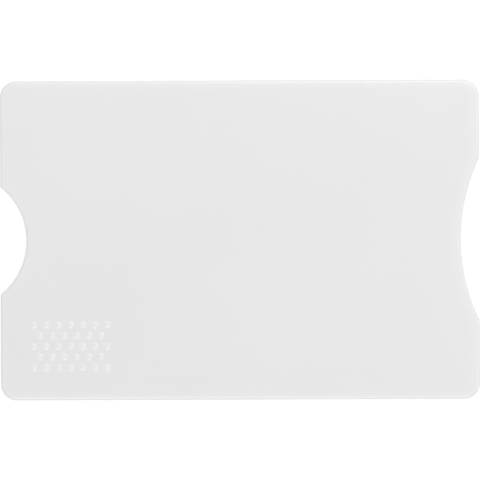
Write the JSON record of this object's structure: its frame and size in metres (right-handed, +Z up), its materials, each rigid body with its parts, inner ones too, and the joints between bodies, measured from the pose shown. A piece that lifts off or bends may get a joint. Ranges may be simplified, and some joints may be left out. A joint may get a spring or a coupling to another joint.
{
  "type": "rfid card sleeve",
  "caption": "Rigid white shielding sleeve for a bank card: moulded half shells, open mouth with a shallow finger notch, closed end with a deeper thumb notch, foil lining.",
  "frame": {"origin": "centre of the flat rear face, on which the sleeve lies", "axes": "+X from the closed end with the thumb notch to the open mouth, +Y across the sleeve, towards the long side away from the pips, +Z up through the front face"},
  "size_m": [0.09, 0.06, 0.0037],
  "materials": {
    "shell_plastic": "injection-moulded white polystyrene with a fine satin texture",
    "adhesive_film": "clear acrylic transfer film, slightly yellow",
    "shield_foil": "bright rolled foil",
    "liner_film": "white polyester film, silky"
  },
  "bodies": {
    "root": {"front_shell": "shell_plastic", "rear_shell": "shell_plastic", "front_shield_adhesive": "adhesive_film", "front_shield_foil": "shield_foil", "front_shield_liner": "liner_film", "rear_shield_adhesive": "adhesive_film", "rear_shield_foil": "shield_foil", "rear_shield_liner": "liner_film"}
  },
  "joints": []
}
